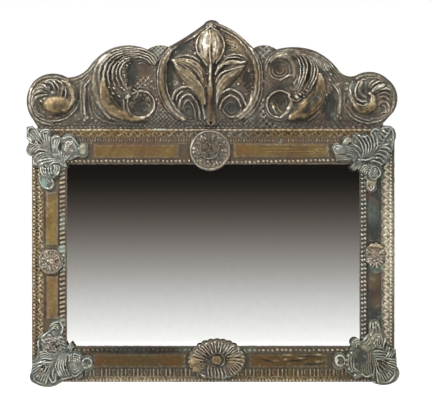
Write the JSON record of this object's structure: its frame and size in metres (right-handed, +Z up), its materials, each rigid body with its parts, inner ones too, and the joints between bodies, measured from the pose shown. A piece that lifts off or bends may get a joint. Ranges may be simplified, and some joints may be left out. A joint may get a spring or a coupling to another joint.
{
  "type": "wall mirror",
  "caption": "Rectangular wall mirror in a wood frame clad in embossed tin, with leafed corners, rosettes and a tall scrolled crest, hung by two rings.",
  "frame": {"origin": "on the wall, behind the middle of the glass", "axes": "+X to the right seen from the front, +Y into the wall, +Z up"},
  "size_m": [0.8198, 0.0494, 0.8068],
  "materials": {
    "frame_wood": "raw softwood, darkened with age",
    "crest_board_wood": "raw softwood board",
    "back_board": "smooth hardboard",
    "mirror_glass": "silvered glass",
    "top_rail_tin": "tin with a golden brown patina",
    "bottom_rail_tin": "tin with an olive gold patina",
    "left_rail_tin": "tin with a pale gold patina",
    "right_rail_tin": "tin with a slate grey patina",
    "leaf_tin": "tin with a grey green patina",
    "rosette_tin": "tin with a pale gold patina",
    "crest_tin": "tin with a dark bronze patina",
    "crest_ground_tin": "tin with a dark patina, punched in a lattice",
    "nails": "tarnished round heads",
    "screws": "dull zinc",
    "hangers": "zinc plated strap",
    "rings": "zinc plated wire",
    "wall_pads": "matte rubber"
  },
  "bodies": {
    "root": {"frame_top_rail": "frame_wood", "frame_bottom_rail": "frame_wood", "frame_left_stile": "frame_wood", "frame_right_stile": "frame_wood", "crest_board": "crest_board_wood", "crest_batten_left": "frame_wood", "crest_batten_right": "frame_wood", "mirror_glass": "mirror_glass", "back_board": "back_board", "top_rail_sheet": "top_rail_tin", "bottom_rail_sheet": "bottom_rail_tin", "left_rail_sheet": "left_rail_tin", "right_rail_sheet": "right_rail_tin", "crest_ground_sheet": "crest_ground_tin", "crest_left_wing": "crest_tin", "crest_right_wing": "crest_tin", "crest_centre_panel": "crest_tin", "corner_leaf_top_left": "leaf_tin", "corner_leaf_top_right": "leaf_tin", "corner_leaf_bottom_left": "leaf_tin", "corner_leaf_bottom_right": "leaf_tin", "top_medallion": "rosette_tin", "bottom_rosette": "rosette_tin", "left_rosette": "rosette_tin", "right_rosette": "rosette_tin", "crest_nails": "nails", "corner_leaf_nails": "nails", "rosette_nails": "nails", "rail_sheet_nails": "nails", "lap_screws": "screws", "batten_screws": "screws", "back_board_screws": "screws", "hanger_screws": "screws", "hanger_strap_left": "hangers", "hanger_strap_right": "hangers", "wall_pads": "wall_pads"},
    "ring_left": {"hanger_ring_left": "rings"},
    "ring_right": {"hanger_ring_right": "rings"}
  },
  "joints": [
    {"name": "ring_left_swing", "type": "hinge", "parent": "root", "child": "ring_left", "pos_m": [-0.3615, -0.0052, 0.15], "axis": [1, 0, 0], "range_deg": [-0.4, 182]},
    {"name": "ring_right_swing", "type": "hinge", "parent": "root", "child": "ring_right", "pos_m": [0.3615, -0.0052, 0.15], "axis": [1, 0, 0], "range_deg": [-0.4, 182]}
  ]
}
